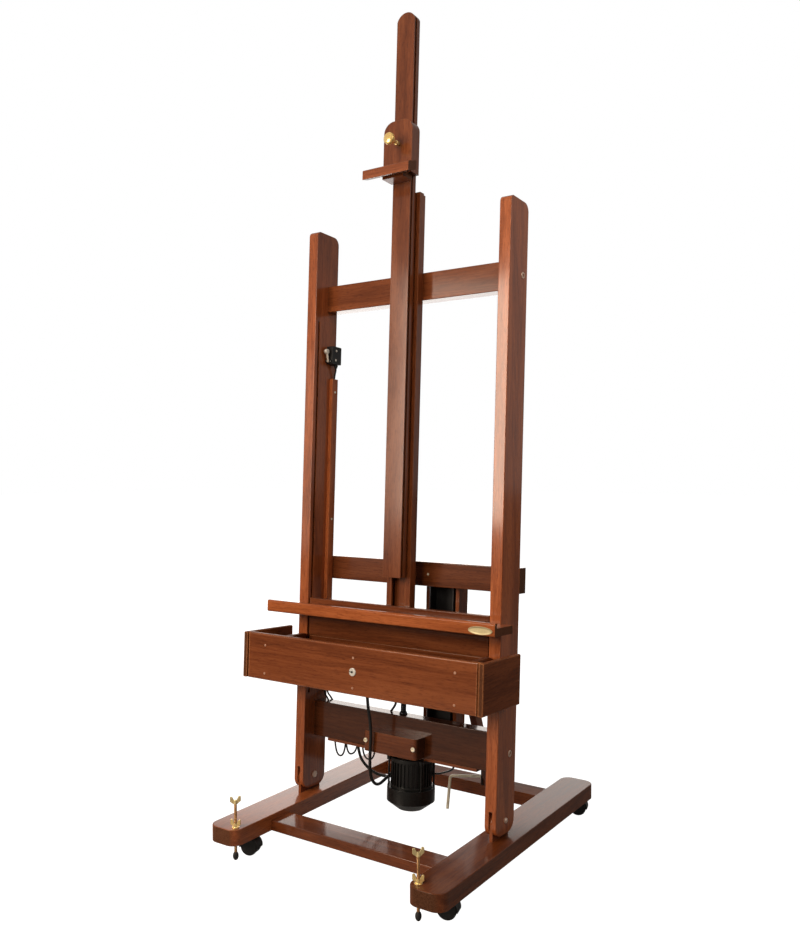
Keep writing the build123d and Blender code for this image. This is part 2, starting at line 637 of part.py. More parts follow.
housing = span(-HOUSING_X, HOUSING_X, tray_back, tray_back + HOUSING_T, floor_top, DIVIDER_TOP)
housing = fillet(housing.edges().filter_by(Axis.Z).group_by(Axis.Y)[-1], 4)
housing -= rod_y(tray_back - 1, TRAY_FRONT + KEY_BARREL_L + GAP, 0, KEY_S, key_bore)
parts["switch_housing"] = lean(housing)

# Key switch: bezel and barrel through the tray front, plug that turns with a key
bezel = rod_y(TRAY_FRONT - KEY_BEZEL_T, TRAY_FRONT, 0, KEY_S, KEY_BEZEL_D)
bezel = fillet(bezel.edges().group_by(Axis.Y)[0], 1)
bezel += rod_y(TRAY_FRONT - 0.5, TRAY_FRONT + KEY_BARREL_L, 0, KEY_S, KEY_BARREL_D)
plug_front = TRAY_FRONT - KEY_BEZEL_T
bezel -= rod_y(plug_front - 1, plug_front + KEY_PLUG_L + GAP, 0, KEY_S, KEY_PLUG_D + 2 * RUN_FIT)
parts["key_switch"] = lean(bezel)
plug = rod_y(plug_front, plug_front + KEY_PLUG_L, 0, KEY_S, KEY_PLUG_D)
plug -= span(-KEY_SLOT_W / 2, KEY_SLOT_W / 2, plug_front - 1, plug_front + 5, KEY_S - 3.2, KEY_S + 3.2)
parts["key_plug"] = lean(plug)

# Mast guide: a channel with lips, made in one piece and fixed behind the back board
guide_back = GUIDE_D + GUIDE_T
guide = span(-GUIDE_X, GUIDE_X, GUIDE_D, guide_back, GUIDE_S, GUIDE_TOP)
channel_x = GUIDE_X - GUIDE_WALL
guide -= span(-channel_x, channel_x, GUIDE_D + GUIDE_LIP_T, guide_back - GUIDE_BACK_T, GUIDE_S - 1, GUIDE_TOP + 1)
guide -= span(-GUIDE_LIP_X, GUIDE_LIP_X, GUIDE_D - 1, GUIDE_D + GUIDE_LIP_T + 1, GUIDE_S - 1, GUIDE_TOP + 1)
guide -= span(-GUIDE_X - 1, GUIDE_X + 1, guide_back - 7, guide_back + 1, GUIDE_TOP - 4, GUIDE_TOP + 1)
parts["mast_guide"] = lean(guide)

# Nut block on the back of the guide, around the lead screw
nut_block = span(-LIFT_NUT_W / 2, LIFT_NUT_W / 2, guide_back, guide_back + LIFT_NUT_T,
                 BOARD_S + 2, BOARD_S + 2 + LIFT_NUT_H)
nut_block = fillet(nut_block.edges().filter_by(Axis.Z).group_by(Axis.Y)[-1], 4)
nut_block -= rod(0, SCREW_DEPTH, BOARD_S, BOARD_S + LIFT_NUT_H + 4, SCREW_D + 2 * GAP)
parts["lift_nut"] = lean(nut_block)

# Mast: board with a round top, side grooves for the clamp and a T rib in the guide
shoulder = MAST_TOP - MAST_ARCH
arch = ThreePointArc((MAST_X, shoulder), (0, MAST_TOP), (-MAST_X, shoulder))
sides = Polyline((-MAST_X, shoulder), (-MAST_X, MAST_S), (MAST_X, MAST_S), (MAST_X, shoulder))
outline = make_face(arch + sides)
mast = Pos(0, MAST_D0 + MAST_T / 2, 0) * extrude(Plane.XZ * outline, MAST_T / 2, both=True)
for side in (-1, 1):
    x0, x1 = sorted((side * (MAST_X - MAST_GROOVE_DEEP), side * (MAST_X + 1)))
    mast -= span(x0, x1, MAST_GROOVE_D, MAST_GROOVE_D + MAST_GROOVE_W, MAST_S - 1, MAST_TOP + 1)
mast_back = MAST_D0 + MAST_T
rib_front = GUIDE_D + GUIDE_LIP_T + SLIDE
rib_back = guide_back - GUIDE_BACK_T - SLIDE
neck_x = GUIDE_LIP_X - SLIDE
mast += span(-neck_x, neck_x, mast_back - 1, rib_front + 1, MAST_S, RIB_TOP)
mast += span(-channel_x + SLIDE, channel_x - SLIDE, rib_front, rib_back, MAST_S, RIB_TOP)
parts["mast"] = lean(mast)

# Canvas clamp: plate that hooks into the mast grooves, arm, and knob with its screw
shape = Rectangle(2 * CLAMP_X, CLAMP_H, align=(Align.CENTER, Align.MIN))
shape = fillet(shape.vertices().sort_by(Axis.Y)[-2:], CLAMP_R)
depth = CLAMP_BACK - CLAMP_FRONT
plate = Pos(0, (CLAMP_FRONT + CLAMP_BACK) / 2, CLAMP_S) * extrude(Plane.XZ * shape, depth / 2, both=True)
throat_x = MAST_X + SLIDE
plate -= span(-throat_x, throat_x, MAST_D0 - SLIDE, CLAMP_BACK + 1, CLAMP_S - 1, CLAMP_S + CLAMP_H + 1)
hook_x = MAST_X - MAST_GROOVE_DEEP + SLIDE
for side in (-1, 1):
    x0, x1 = sorted((side * hook_x, side * (throat_x + 1)))
    plate += span(x0, x1, MAST_GROOVE_D + SLIDE, MAST_GROOVE_D + MAST_GROOVE_W - SLIDE,
                  CLAMP_S, CLAMP_S + CLAMP_H - CLAMP_R)
plate -= rod_y(CLAMP_FRONT - 1, MAST_D0, 0, KNOB_S, KNOB_ROD_D + 2 * RUN_FIT)
parts["clamp_plate"] = lean(plate)
arm_back = ARM_FRONT + ARM_DEPTH
arm_top = ARM_S + ARM_H
section = Polyline((ARM_FRONT, ARM_S), (ARM_FRONT, arm_top), (arm_back, arm_top + ARM_RISE),
                   (arm_back, ARM_S + ARM_RISE), (ARM_FRONT + ARM_LIP, ARM_S + ARM_LIP_RISE), close=True)
arm = extrude(Plane.YZ * make_face(section), ARM_X, both=True)
arm = fillet(arm.edges().filter_by(Axis.X).group_by(Axis.Y)[0].sort_by(Axis.Z)[-1], ARM_R)
arm += span(-STEM_X, STEM_X, arm_back - EASE, CLAMP_FRONT, STEM_S, arm_top + ARM_RISE - EASE)
arm += span(-STEM_X, STEM_X, CLAMP_FRONT - EASE, MAST_D0 - SLIDE, STEM_S, CLAMP_S)
parts["clamp_arm"] = lean(arm)
knob_face = CLAMP_FRONT - KNOB_OUT
knob = rod_y(knob_face, knob_face + KNOB_T, 0, KNOB_S, KNOB_D)
knob = fillet(knob.edges().group_by(Axis.Y)[0], 4)
knob = fillet(knob.edges().group_by(Axis.Y)[-1], 2)
knob += rod_y(knob_face + KNOB_T - 1, CLAMP_FRONT - 2, 0, KNOB_S, KNOB_NECK_D)
knob += rod_y(CLAMP_FRONT - KNOB_COLLAR_H, CLAMP_FRONT - GAP, 0, KNOB_S, KNOB_COLLAR_D)
knob += rod_y(CLAMP_FRONT - 1, MAST_D0 - GAP, 0, KNOB_S, KNOB_ROD_D)
parts["clamp_knob"] = lean(knob)

# Limit switch with a roller lever in front of it, and the wooden raceway under it
switch_x = SWITCH_T - UPRIGHT_X
switch_mid = SWITCH_T / 2 - UPRIGHT_X
switch = span(-UPRIGHT_X, switch_x, SWITCH_D0, SWITCH_D1, SWITCH_S0, SWITCH_S1)
switch = eased(switch, Axis.X, 3)
for x in (switch_mid - EAR_X, switch_mid + EAR_X):
    switch += span(x - EAR_T / 2, x + EAR_T / 2, LEVER_D, SWITCH_D0 + 1, LEVER_S - EAR_R, LEVER_S + EAR_R)
    switch += rod_x(x - EAR_T / 2, x + EAR_T / 2, LEVER_D, LEVER_S, 2 * EAR_R)
pin_x = EAR_X + EAR_T / 2
switch -= rod_x(switch_mid - pin_x - 1, switch_mid + pin_x + 1, LEVER_D, LEVER_S, LEVER_PIN_D + 2 * RUN_FIT)
parts["limit_switch"] = lean(switch)
lever = rod_x(switch_mid - pin_x, switch_mid + pin_x, LEVER_D, LEVER_S, LEVER_PIN_D)
lever += rod_x(switch_mid - LEVER_W / 2, switch_mid + LEVER_W / 2, LEVER_D, LEVER_S, 2 * LEVER_PIN_D)
reach = math.hypot(ROLLER_D - LEVER_D, ROLLER_S - LEVER_S)
slope = math.degrees(math.atan2(ROLLER_S - LEVER_S, ROLLER_D - LEVER_D))
bar = span(-LEVER_W / 2, LEVER_W / 2, 0, reach, -LEVER_T / 2, LEVER_T / 2)
lever += Pos(switch_mid, LEVER_D, LEVER_S) * Rot(slope, 0, 0) * bar
lever += rod_x(switch_mid - ROLLER_W / 2, switch_mid + ROLLER_W / 2, ROLLER_D, ROLLER_S, 2 * ROLLER_R)
parts["limit_lever"] = lean(lever)
raceway = span(-UPRIGHT_X, -UPRIGHT_X + RACEWAY_T, RACEWAY_D, UPRIGHT_D, RACEWAY_S0, RACEWAY_S1)
raceway = fillet(raceway.edges().filter_by(Axis.Z).group_by(Axis.X)[-1], 2)
parts["raceway"] = lean(raceway)

# Tilt strut: pivoted on the column, slotted for the clamp on the base
upper = point_of(STRUT_X, STRUT_PIVOT_D, STRUT_PIVOT_S)
lower = Vector(STRUT_X, CLAMP_Y, CLAMP_Z)
run = lower - upper
length = run.length
strut_angle = math.degrees(math.atan2(run.Y, -run.Z))
strut = span(0, STRUT_W, -STRUT_T / 2, STRUT_T / 2, -length - STRUT_BELOW, STRUT_END)
strut = fillet(strut.edges().filter_by(Axis.X), STRUT_T * 0.4)
strut -= rod_x(-1, STRUT_W + 1, 0, 0, STRUT_BOLT_D + 2 * RUN_FIT)
slot = span(-1, STRUT_W + 1, -STRUT_SLOT_W / 2, STRUT_SLOT_W / 2,
            -length - STRUT_SLOT / 2, -length + STRUT_SLOT / 2)
strut -= eased(slot, Axis.X, STRUT_SLOT_W / 2 - 0.1)
parts["tilt_strut"] = Pos(upper) * Rot(strut_angle, 0, 0) * strut

# Bracket on the rear cross member that holds the strut between two cheeks
member_top = RUNNER_Z + REAR_MEMBER_H
seat_y0 = REAR_MEMBER_Y + 4
seat_y1 = REAR_MEMBER_Y + REAR_MEMBER_W - 6
cheek_in = STRUT_X - GAP * 2
cheek_out = STRUT_X + STRUT_W + GAP * 2
cheek = Polyline((seat_y1, member_top), (seat_y1, member_top + CHEEK_BACK_H),
                 (CLAMP_Y + CHEEK_TAIL, CLAMP_Z + CHEEK_RISE), (CLAMP_Y - CHEEK_LEAD, CLAMP_Z + CHEEK_RISE),
                 (CLAMP_Y - CHEEK_LEAD, CLAMP_Z - CHEEK_BACK_H), (seat_y0, member_top), close=True)
cheek = extrude(Plane.YZ * make_face(cheek), CHEEK_T)
cheek -= rod_x(-1, CHEEK_T + 1, CLAMP_Y, CLAMP_Z, HANDLE_D + 2 * RUN_FIT)
bracket = Pos(cheek_in - CHEEK_T, 0, 0) * cheek + Pos(cheek_out, 0, 0) * cheek
bracket += span(cheek_in - CHEEK_T, cheek_out + CHEEK_T, seat_y0, seat_y1, member_top, member_top + CHEEK_T)
nut_x = cheek_out + CHEEK_T
bracket += rod_x(nut_x - 0.5, nut_x + 6, CLAMP_Y, CLAMP_Z, 14)
bracket -= rod_x(nut_x - 1, nut_x + 7, CLAMP_Y, CLAMP_Z, HANDLE_D + 2 * RUN_FIT)
parts["strut_bracket"] = bracket

# Clamp handle: one bent rod, a short straight end in the bracket, then the arm and the hanging leg
shoulder_x = cheek_in - CHEEK_T - GAP
droop = math.radians(HANDLE_DROOP)
swing = math.radians(HANDLE_SWING)
start = Vector(nut_x + 5, CLAMP_Y, CLAMP_Z)
knee = Vector(shoulder_x - 8, CLAMP_Y, CLAMP_Z)
elbow = knee - Vector(HANDLE_REACH * math.cos(droop), 0, HANDLE_REACH * math.sin(droop))
tip = elbow - Vector(0, HANDLE_LEG * math.sin(swing), HANDLE_LEG * math.cos(swing))
path = FilletPolyline(start, knee, elbow, tip, radius=HANDLE_BEND)
handle = sweep(Plane(origin=start, z_dir=(-1, 0, 0)) * Circle(HANDLE_D / 2), path)
handle += rod_x(shoulder_x - 6, shoulder_x, CLAMP_Y, CLAMP_Z, 2 * HANDLE_D)
parts["clamp_handle"] = handle

# Bolts of the frame: tilt pivots with nuts, rail bolts, and the pivot of the strut
bolts = []
for side in (-1, 1):
    heads = [rod_x(UPRIGHT_X - 1, OUTER_X + 1, PIVOT_D, PIVOT_S, PIVOT_BOLT_D)]
    dome = rod_x(OUTER_X, OUTER_X + 5, PIVOT_D, PIVOT_S, PIVOT_HEAD_D)
    heads[0] += fillet(dome.edges().group_by(Axis.X)[-1], 3.5)
    heads[0] += hexagon(UPRIGHT_X - PIVOT_NUT_H, PIVOT_NUT_H, PIVOT_D, PIVOT_S, PIVOT_NUT_W)
    for d, s in rail_bolts:
        bolt = rod_x(OUTER_X - RAIL_BOLT_L, OUTER_X + 1, d, s, RAIL_BOLT_D)
        head = rod_x(OUTER_X, OUTER_X + RAIL_BOLT_RISE, d, s, RAIL_BOLT_HEAD)
        bolt += fillet(head.edges().group_by(Axis.X)[-1], RAIL_BOLT_RISE * 0.6)
        bolt -= hexagon(OUTER_X - RAIL_BOLT_RISE / 3, 2 * RAIL_BOLT_RISE, d, s, SOCKET_W)
        heads.append(bolt)
    bolts += [lean(b if side > 0 else mirrored(b)) for b in heads]
strut_outer = STRUT_X + STRUT_W
strut_bolt = rod_x(COLUMN_X1 - COLUMN_WALL - 4, strut_outer + GAP + 1, STRUT_PIVOT_D, STRUT_PIVOT_S, STRUT_BOLT_D)
strut_bolt += rod_x(strut_outer + GAP, strut_outer + 6, STRUT_PIVOT_D, STRUT_PIVOT_S, 2 * STRUT_BOLT_D)
bolts.append(lean(strut_bolt))
parts["frame_bolts"] = Compound(children=bolts)

# Screw heads of the frame and of the tray front, each seated on its face
screw_heads = []
for x, s in block_screws:
    head = rod_y(BLOCK_FRONT - CUP_H, BLOCK_FRONT, x, s, CUP_D)
    head = fillet(head.edges().group_by(Axis.Y)[0], CUP_H * 0.6)
    screw_heads.append(head - rod_y(BLOCK_FRONT - 2 * CUP_H, BLOCK_FRONT - CUP_H / 3, x, s, CUP_D * 0.4))
for x, s in rear_screws:
    head = rod_y(UPRIGHT_D - HEAD_H, UPRIGHT_D, x, s, HEAD_D)
    screw_heads.append(fillet(head.edges().group_by(Axis.Y)[0], HEAD_H * 0.6))
raceway_face = -UPRIGHT_X + RACEWAY_T
for s in RACEWAY_SCREW_S:
    head = rod_x(raceway_face, raceway_face + HEAD_H, (RACEWAY_D + UPRIGHT_D) / 2, s, HEAD_D)
    screw_heads.append(fillet(head.edges().group_by(Axis.X)[-1], HEAD_H * 0.6))
parts["frame_screws"] = Compound(children=[lean(head) for head in screw_heads])
tray_heads = []
for x in (-DIVIDER_X, 0, DIVIDER_X):
    for s in TRAY_SCREW_S:
        head = rod_y(TRAY_FRONT - HEAD_H, TRAY_FRONT, x, s, HEAD_D)
        tray_heads.append(lean(fillet(head.edges().group_by(Axis.Y)[0], HEAD_H * 0.6)))
parts["tray_screws"] = Compound(children=tray_heads)


def tube(name, points, d):
    """Cord of straight runs and tangent arcs through points of the leaning frame."""
    points = [Vector(*p) for p in points]
    radii = []
    for before, here, after in zip(points, points[1:], points[2:]):
        turn = (here - before).get_angle(after - here)
        shorter = min((here - before).length, (after - here).length)
        radii.append(0.45 * shorter / math.tan(math.radians(turn / 2)))
    route = FilletPolyline(*points, radius=radii)
    cord = sweep(Plane(origin=points[0], z_dir=points[1] - points[0]) * Circle(d / 2), route)
    ideal = math.pi * d * d / 4 * route.length
    print(name, "radii", [round(r) for r in radii], "volume ratio", round(cord.volume / ideal, 4),
          "length", round(route.length))
    return lean(cord)


# Cables that hang from the tray floor: to the terminal box, and into the top of the drive rail
floor_under = TRAY_FLOOR_S - GAP
motor_route = [(-55, -24, floor_under), (-55, -24, 290), (-48, -10, 212), (-50, -10, 158), (-52, -7, 112),
               (-53, 4, 78), (-54, 34, 57), (-51, 72, 72), (-34, 104, 96), (box_left + CORD_SINK, 119, 104)]
parts["motor_cable"] = tube("motor_cable", motor_route, MOTOR_CABLE_D)
tray_route = [(18, -10, floor_under), (18, -10, 304), (5, 20, 282), (-17, 48, 265), (-49, 75, DRIVE_TOP - CORD_SINK)]
parts["tray_cable"] = tube("tray_cable", tray_route, TRAY_CABLE_D)

# Cables from the cover strip to both sides of the terminal box
strip_under = DRIVE_RAIL_S - STRIP_H
supply_route = [(-137, 56, strip_under), (-134, 59, 116), (-123, 69, 92), (-104, 84, 70), (-76, 99, 61),
                (-38, 110, 70), (box_left + CORD_SINK, 114, 88)]
side_route = [(box_right - CORD_SINK, 118, 90), (72, 116, 92), (98, 104, 103), (126, 88, 116), (145, 76, 129),
              (150, 72, strip_under)]
parts["supply_cable"] = Compound(children=[tube("supply_cable", supply_route, SUPPLY_CABLE_D),
                                           tube("side_cable", side_route, SIDE_CABLE_D)])

# Wire of the limit switch: from the switch to the raceway, out of its foot into the rail, and in loops below
wire_routes = [
    [(-264, 78, SWITCH_S0), (-264.5, 80, 1146), (-270, 82, 1134), (-270.5, 81, RACEWAY_S1)],
    [(-270.5, 85, RACEWAY_S0), (-268, 85, 259), (-253, 82, 250), (-240, 77, DRIVE_TOP - CORD_SINK)],
    [(-270.5, 74, RACEWAY_S0), (-267, 72, 258), (-252, 66, 250), (-240, 60, DRIVE_TOP - CORD_SINK)],
    [(-209, 50, strip_under), (-205, 50, 107), (-177, 50, 107), (-174, 50, strip_under)],
    [(-166, 44, strip_under), (-163, 45, 115), (-157, 76, 115), (-154, 77, strip_under)],
    [(-117, 50, strip_under), (-114, 50, 114), (-80, 50, 114), (-78, 50, strip_under)],
]
wires = [tube("switch_wire", route, WIRE_D) for route in wire_routes]
parts["switch_wire"] = Compound(children=wires)

for name, shape in parts.items():
    export_step(shape, f"parts/{name}.step")
    print(name, len(shape.solids()), round(shape.volume / 1000, 1), "cm3")
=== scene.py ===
import json
import math

import bmesh
import bpy
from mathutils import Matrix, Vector


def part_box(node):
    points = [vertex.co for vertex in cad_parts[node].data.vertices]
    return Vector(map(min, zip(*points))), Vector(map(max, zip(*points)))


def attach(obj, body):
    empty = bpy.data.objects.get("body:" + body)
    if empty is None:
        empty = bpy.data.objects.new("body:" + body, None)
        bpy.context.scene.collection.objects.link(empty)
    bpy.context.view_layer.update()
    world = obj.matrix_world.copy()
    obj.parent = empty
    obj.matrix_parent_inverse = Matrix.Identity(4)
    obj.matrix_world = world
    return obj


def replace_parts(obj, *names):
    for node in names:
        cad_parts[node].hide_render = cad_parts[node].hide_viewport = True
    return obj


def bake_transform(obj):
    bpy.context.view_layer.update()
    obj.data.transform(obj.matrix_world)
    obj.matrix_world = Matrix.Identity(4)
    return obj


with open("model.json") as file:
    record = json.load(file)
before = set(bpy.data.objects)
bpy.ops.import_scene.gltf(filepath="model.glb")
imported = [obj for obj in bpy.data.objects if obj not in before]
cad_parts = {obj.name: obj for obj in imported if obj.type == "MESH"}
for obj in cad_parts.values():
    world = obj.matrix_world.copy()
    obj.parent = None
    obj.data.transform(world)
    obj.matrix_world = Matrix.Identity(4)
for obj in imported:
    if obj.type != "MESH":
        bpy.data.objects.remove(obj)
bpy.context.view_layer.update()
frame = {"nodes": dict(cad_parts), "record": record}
nodes = frame["nodes"]
MM = 0.001

# Leaning frame: its axes come from the lift joint, its corner from the CAD
lift = next(j for j in frame["record"]["behaviour"]["joints"] if j["name"] == "lift")
UP = Vector(lift["axis"]).normalized()
BACK = Vector((0, UP.z, -UP.y))
FRAME_CORNER = Vector((0, -119, 87)) * MM

# Camera at the photograph's view
CAMERA_PLACE = (1.2785, -1.9445, 0.9552)
CAMERA_YAW = 34.27
CAMERA_PITCH = -1.60
CAMERA_ROLL = 0.11
FOCAL_PX = 900.2
CENTRE_PX = (397.73, 494.11)
PHOTO_PX = (800, 934)
SENSOR_MM = 36


def place(x, d, s):
    """World point of a place on the leaning frame: across, back and up it, in millimetres."""
    return FRAME_CORNER + Vector((x * MM, 0, 0)) + BACK * d * MM + UP * s * MM


def grey(value):
    """Grey colour."""
    return (value, value, value, 1)


def scaled(colour, factor):
    """Colour times a factor."""
    return [c * factor for c in colour[:3]] + [1]


class Shader:
    """Small helper that builds one node material."""

    def __init__(self, name):
        self.material = bpy.data.materials.new(name)
        self.material.use_nodes = True
        self.tree = self.material.node_tree
        self.bsdf = self.tree.nodes["Principled BSDF"]

    def add(self, kind, inputs=None, **props):
        """New node with its settings; an input is a number, a colour or an output socket."""
        node = self.tree.nodes.new(kind)
        for key, value in props.items():
            setattr(node, key, value)
        for key, value in (inputs or {}).items():
            self.put(node.inputs[key], value)
        return node

    def put(self, socket, value):
        """Sets a socket, or links it."""
        if isinstance(value, bpy.types.NodeSocket):
            self.tree.links.new(value, socket)
        else:
            socket.default_value = value

    def finish(self, **inputs):
        """Sockets of the principled shader."""
        for key, value in inputs.items():
            self.put(self.bsdf.inputs[key.replace("_", " ")], value)
        return self.material

    def noise(self, vector, scale, detail=3.0, rough=0.55, distort=0.0):
        """Noise value."""
        node = self.add("ShaderNodeTexNoise", {"Vector": vector, "Scale": scale, "Detail": detail,
                                               "Roughness": rough, "Distortion": distort})
        return node.outputs["Fac"]

    def stretched(self, scale):
        """Object coordinates, scaled along each axis."""
        coord = self.add("ShaderNodeTexCoord")
        return self.add("ShaderNodeMapping", {"Vector": coord.outputs["Object"], "Scale": scale}).outputs[0]

    def thread(self, pitch):
        """Bands of a screw thread along Z, with its pitch in metres."""
        coord = self.add("ShaderNodeTexCoord")
        wave = self.add("ShaderNodeTexWave", {"Vector": coord.outputs["Object"], "Distortion": 0.0,
                                              "Scale": math.pi / 10 / pitch}, bands_direction="Z")
        return wave.outputs["Fac"]

    def ramp(self, value, low, high, dark=0.0, light=1.0):
        """Value mapped from low..high to dark..light."""
        node = self.add("ShaderNodeMapRange", {"Value": value, "From Min": low, "From Max": high,
                                               "To Min": dark, "To Max": light})
        return node.outputs["Result"]

    def math(self, operation, a, b):
        """Arithmetic of two values."""
        return self.add("ShaderNodeMath", {0: a, 1: b}, operation=operation).outputs[0]

    def mix(self, factor, a, b):
        """Mix of two colours."""
        node = self.add("ShaderNodeMix", {"Factor": factor}, data_type="RGBA")
        self.put(node.inputs[6], a)
        self.put(node.inputs[7], b)
        return node.outputs[2]

    def edge(self, radius, full=0.80):
        """Rounded normal, and how far a point lies on an edge; full is the cosine at which it is all edge."""
        bevel = self.add("ShaderNodeBevel", {"Radius": radius}, samples=6)
        flat = self.add("ShaderNodeNewGeometry")
        dot = self.add("ShaderNodeVectorMath", {0: bevel.outputs[0], 1: flat.outputs["Normal"]},
                       operation="DOT_PRODUCT")
        return bevel.outputs[0], self.ramp(dot.outputs["Value"], 0.995, full)

    def bump(self, height, normal=None, strength=0.2, distance=0.0004):
        """Bumped normal."""
        node = self.add("ShaderNodeBump", {"Height": height, "Strength": strength, "Distance": distance})
        if normal is not None:
            self.put(node.inputs["Normal"], normal)
        return node.outputs[0]


WOOD_DARK = (0.112, 0.0275, 0.0075, 1)
WOOD_MID = (0.168, 0.0435, 0.0124, 1)
WOOD_LIGHT = (0.212, 0.0590, 0.0178, 1)
WOOD_FLECK = (0.046, 0.0105, 0.0033, 1)
WOOD_END = (0.100, 0.0440, 0.0230, 1)
WOOD_PORE = (0.036, 0.0130, 0.0060, 1)
# Pale colour of the edges: partly real wear, partly a painted highlight along them
WOOD_WORN_AND_HIGHLIGHT = (0.360, 0.142, 0.058, 1)
# Noise scales along the grain and across it, and those of the pores in the end grain
FIGURE_SCALE = (1.5, 20.0)
GRAIN_SCALE = (11.0, 250.0)
FLECK_SCALE = (55.0, 520.0)
PORE_SCALE = (480, 480, 480)
# Radius of a worn edge in metres, whose pale colour is partly wear and partly a painted highlight, spread of
# the stain from board to board, gloss left on the end grain
WORN_AND_HIGHLIGHT_RADIUS = 0.0020
STAIN_SPREAD = 0.06
END_GLOSS = 0.15


def wood(name, axis, stain_and_painted_light=1.0, gloss=0.9, top=1.0, under=1.0, wear_and_highlight=1.0):
    """Stained beech under gloss lacquer, with figure, grain, dark flecks and dull end grain.

    Top and under scale the gloss of upward and downward faces, and the last argument scales the pale edges,
    which are partly real wear and partly a painted highlight.
    """
    w = Shader(name)

    def along(long, across):
        scale = [across] * 3
        scale[axis] = long
        return w.stretched(scale)

    figure = w.noise(along(*FIGURE_SCALE), 1.0, 4.0, 0.6, 0.8)
    grain = w.noise(along(*GRAIN_SCALE), 1.0, 5.0, 0.65)
    fleck = w.ramp(w.noise(along(*FLECK_SCALE), 1.0, 2.0, 0.5), 0.55, 0.68)
    pore = w.ramp(w.noise(w.stretched(PORE_SCALE), 1.0, 3.0, 0.6), 0.42, 0.70)
    tone = w.math("ADD", w.math("MULTIPLY", figure, 0.6), w.math("MULTIPLY", grain, 0.4))
    colour = w.mix(w.ramp(tone, 0.40, 0.51), WOOD_DARK, WOOD_MID)
    colour = w.mix(w.ramp(tone, 0.50, 0.61), colour, WOOD_LIGHT)
    colour = w.mix(w.math("MULTIPLY", fleck, 0.45), colour, WOOD_FLECK)
    board = w.add("ShaderNodeObjectInfo").outputs["Random"]
    # Brightness of each board: a random tone spread times its stain factor, which is partly real stain and
    # partly painted light and shade
    value = w.ramp(board, 0, 1, (1 - STAIN_SPREAD) * stain_and_painted_light, (1 + STAIN_SPREAD) * stain_and_painted_light)
    shade = w.add("ShaderNodeHueSaturation", {"Color": colour, "Value": value})
    true_normal = w.add("ShaderNodeNewGeometry").outputs["True Normal"]
    facing = w.add("ShaderNodeSeparateXYZ", {0: true_normal}).outputs
    across_end = w.add("ShaderNodeMath", {0: facing[axis]}, operation="ABSOLUTE").outputs[0]
    end = w.ramp(across_end, 0.75, 0.97)
    colour = w.mix(w.math("MULTIPLY", end, 0.85), shade.outputs[0], w.mix(pore, WOOD_END, WOOD_PORE))
    # Pale edges: real wear mixed with a painted highlight along the rounded edges
    normal, edge = w.edge(WORN_AND_HIGHLIGHT_RADIUS * wear_and_highlight, 1 - 0.20 / wear_and_highlight ** 2)
    wear_and_highlight_mask = w.math("MULTIPLY", edge, w.ramp(grain, 0.35, 0.7, 0.30 * wear_and_highlight, 0.70 * wear_and_highlight))
    colour = w.mix(wear_and_highlight_mask, colour, scaled(WOOD_WORN_AND_HIGHLIGHT, wear_and_highlight))
    height = w.math("SUBTRACT", grain, w.math("MULTIPLY", fleck, 0.6))
    coat = w.ramp(end, 0, 1, gloss, END_GLOSS * gloss)
    coat = w.math("MULTIPLY", coat, w.ramp(facing[2], 0.6, 0.95, 1.0, top))
    coat = w.math("MULTIPLY", coat, w.ramp(facing[2], -0.6, -0.95, 1.0, under))
    return w.finish(Base_Color=colour, Roughness=w.ramp(grain, 0.3, 0.7, 0.36, 0.50),
                    Normal=w.bump(height, normal, 0.08, 0.0003), Specular_IOR_Level=0.09 * gloss,
                    Coat_Weight=coat, Coat_Roughness=w.ramp(figure, 0.3, 0.7, 0.09, 0.15))


HEAD_BRASS = (1.0, 0.80, 0.40, 1)
BRASS_EDGE = (0.96, 0.84, 0.58, 1)


def brass(name, dark, light, thread=None, head=1.0):
    """Polished brass with fine scratches.

    Thread is the pitch of a screw thread, in metres, and head the share of the height where a bright head
    begins.
    """
    b = Shader(name)
    cloud = b.noise(b.stretched((24, 24, 24)), 1.0, 2.0)
    scratch = b.noise(b.stretched((500, 500, 90)), 1.0, 2.0)
    colour = b.mix(b.ramp(cloud, 0.35, 0.7), dark, light)
    normal, edge = b.edge(0.0014)
    colour = b.mix(b.math("MULTIPLY", edge, 0.6), colour, BRASS_EDGE)
    height = scratch
    strength = 0.004
    if thread:
        place_in_box = b.add("ShaderNodeTexCoord").outputs["Generated"]
        share = b.add("ShaderNodeSeparateXYZ", {0: place_in_box}).outputs[2]
        shank = b.ramp(share, head - 0.01, head, 1.0, 0.0)
        colour = b.mix(shank, HEAD_BRASS, colour)
        height = b.math("MULTIPLY", b.thread(thread), shank)
        strength = 0.55
    return b.finish(Base_Color=colour, Metallic=0.62, Roughness=b.ramp(scratch, 0.3, 0.7, 0.13, 0.20),
                    Normal=b.bump(height, normal, strength, 0.0004))


def plated(name, dark, light, low, high, metal=1.0):
    """Brushed plated steel with a roughness from low to high; a dull plate is less than all metal."""
    p = Shader(name)
    cloud = p.noise(p.stretched((45, 45, 45)), 1.0, 4.0)
    brush = p.noise(p.stretched((700, 700, 40)), 1.0, 2.0)
    normal, edge = p.edge(0.0006)
    colour = p.mix(p.ramp(cloud, 0.3, 0.7), dark, light)
    colour = p.mix(p.math("MULTIPLY", edge, 0.4), colour, light)
    return p.finish(Base_Color=colour, Metallic=metal, Roughness=p.ramp(brush, 0.3, 0.7, low, high),
                    Normal=p.bump(brush, normal, 0.06, 0.0003))


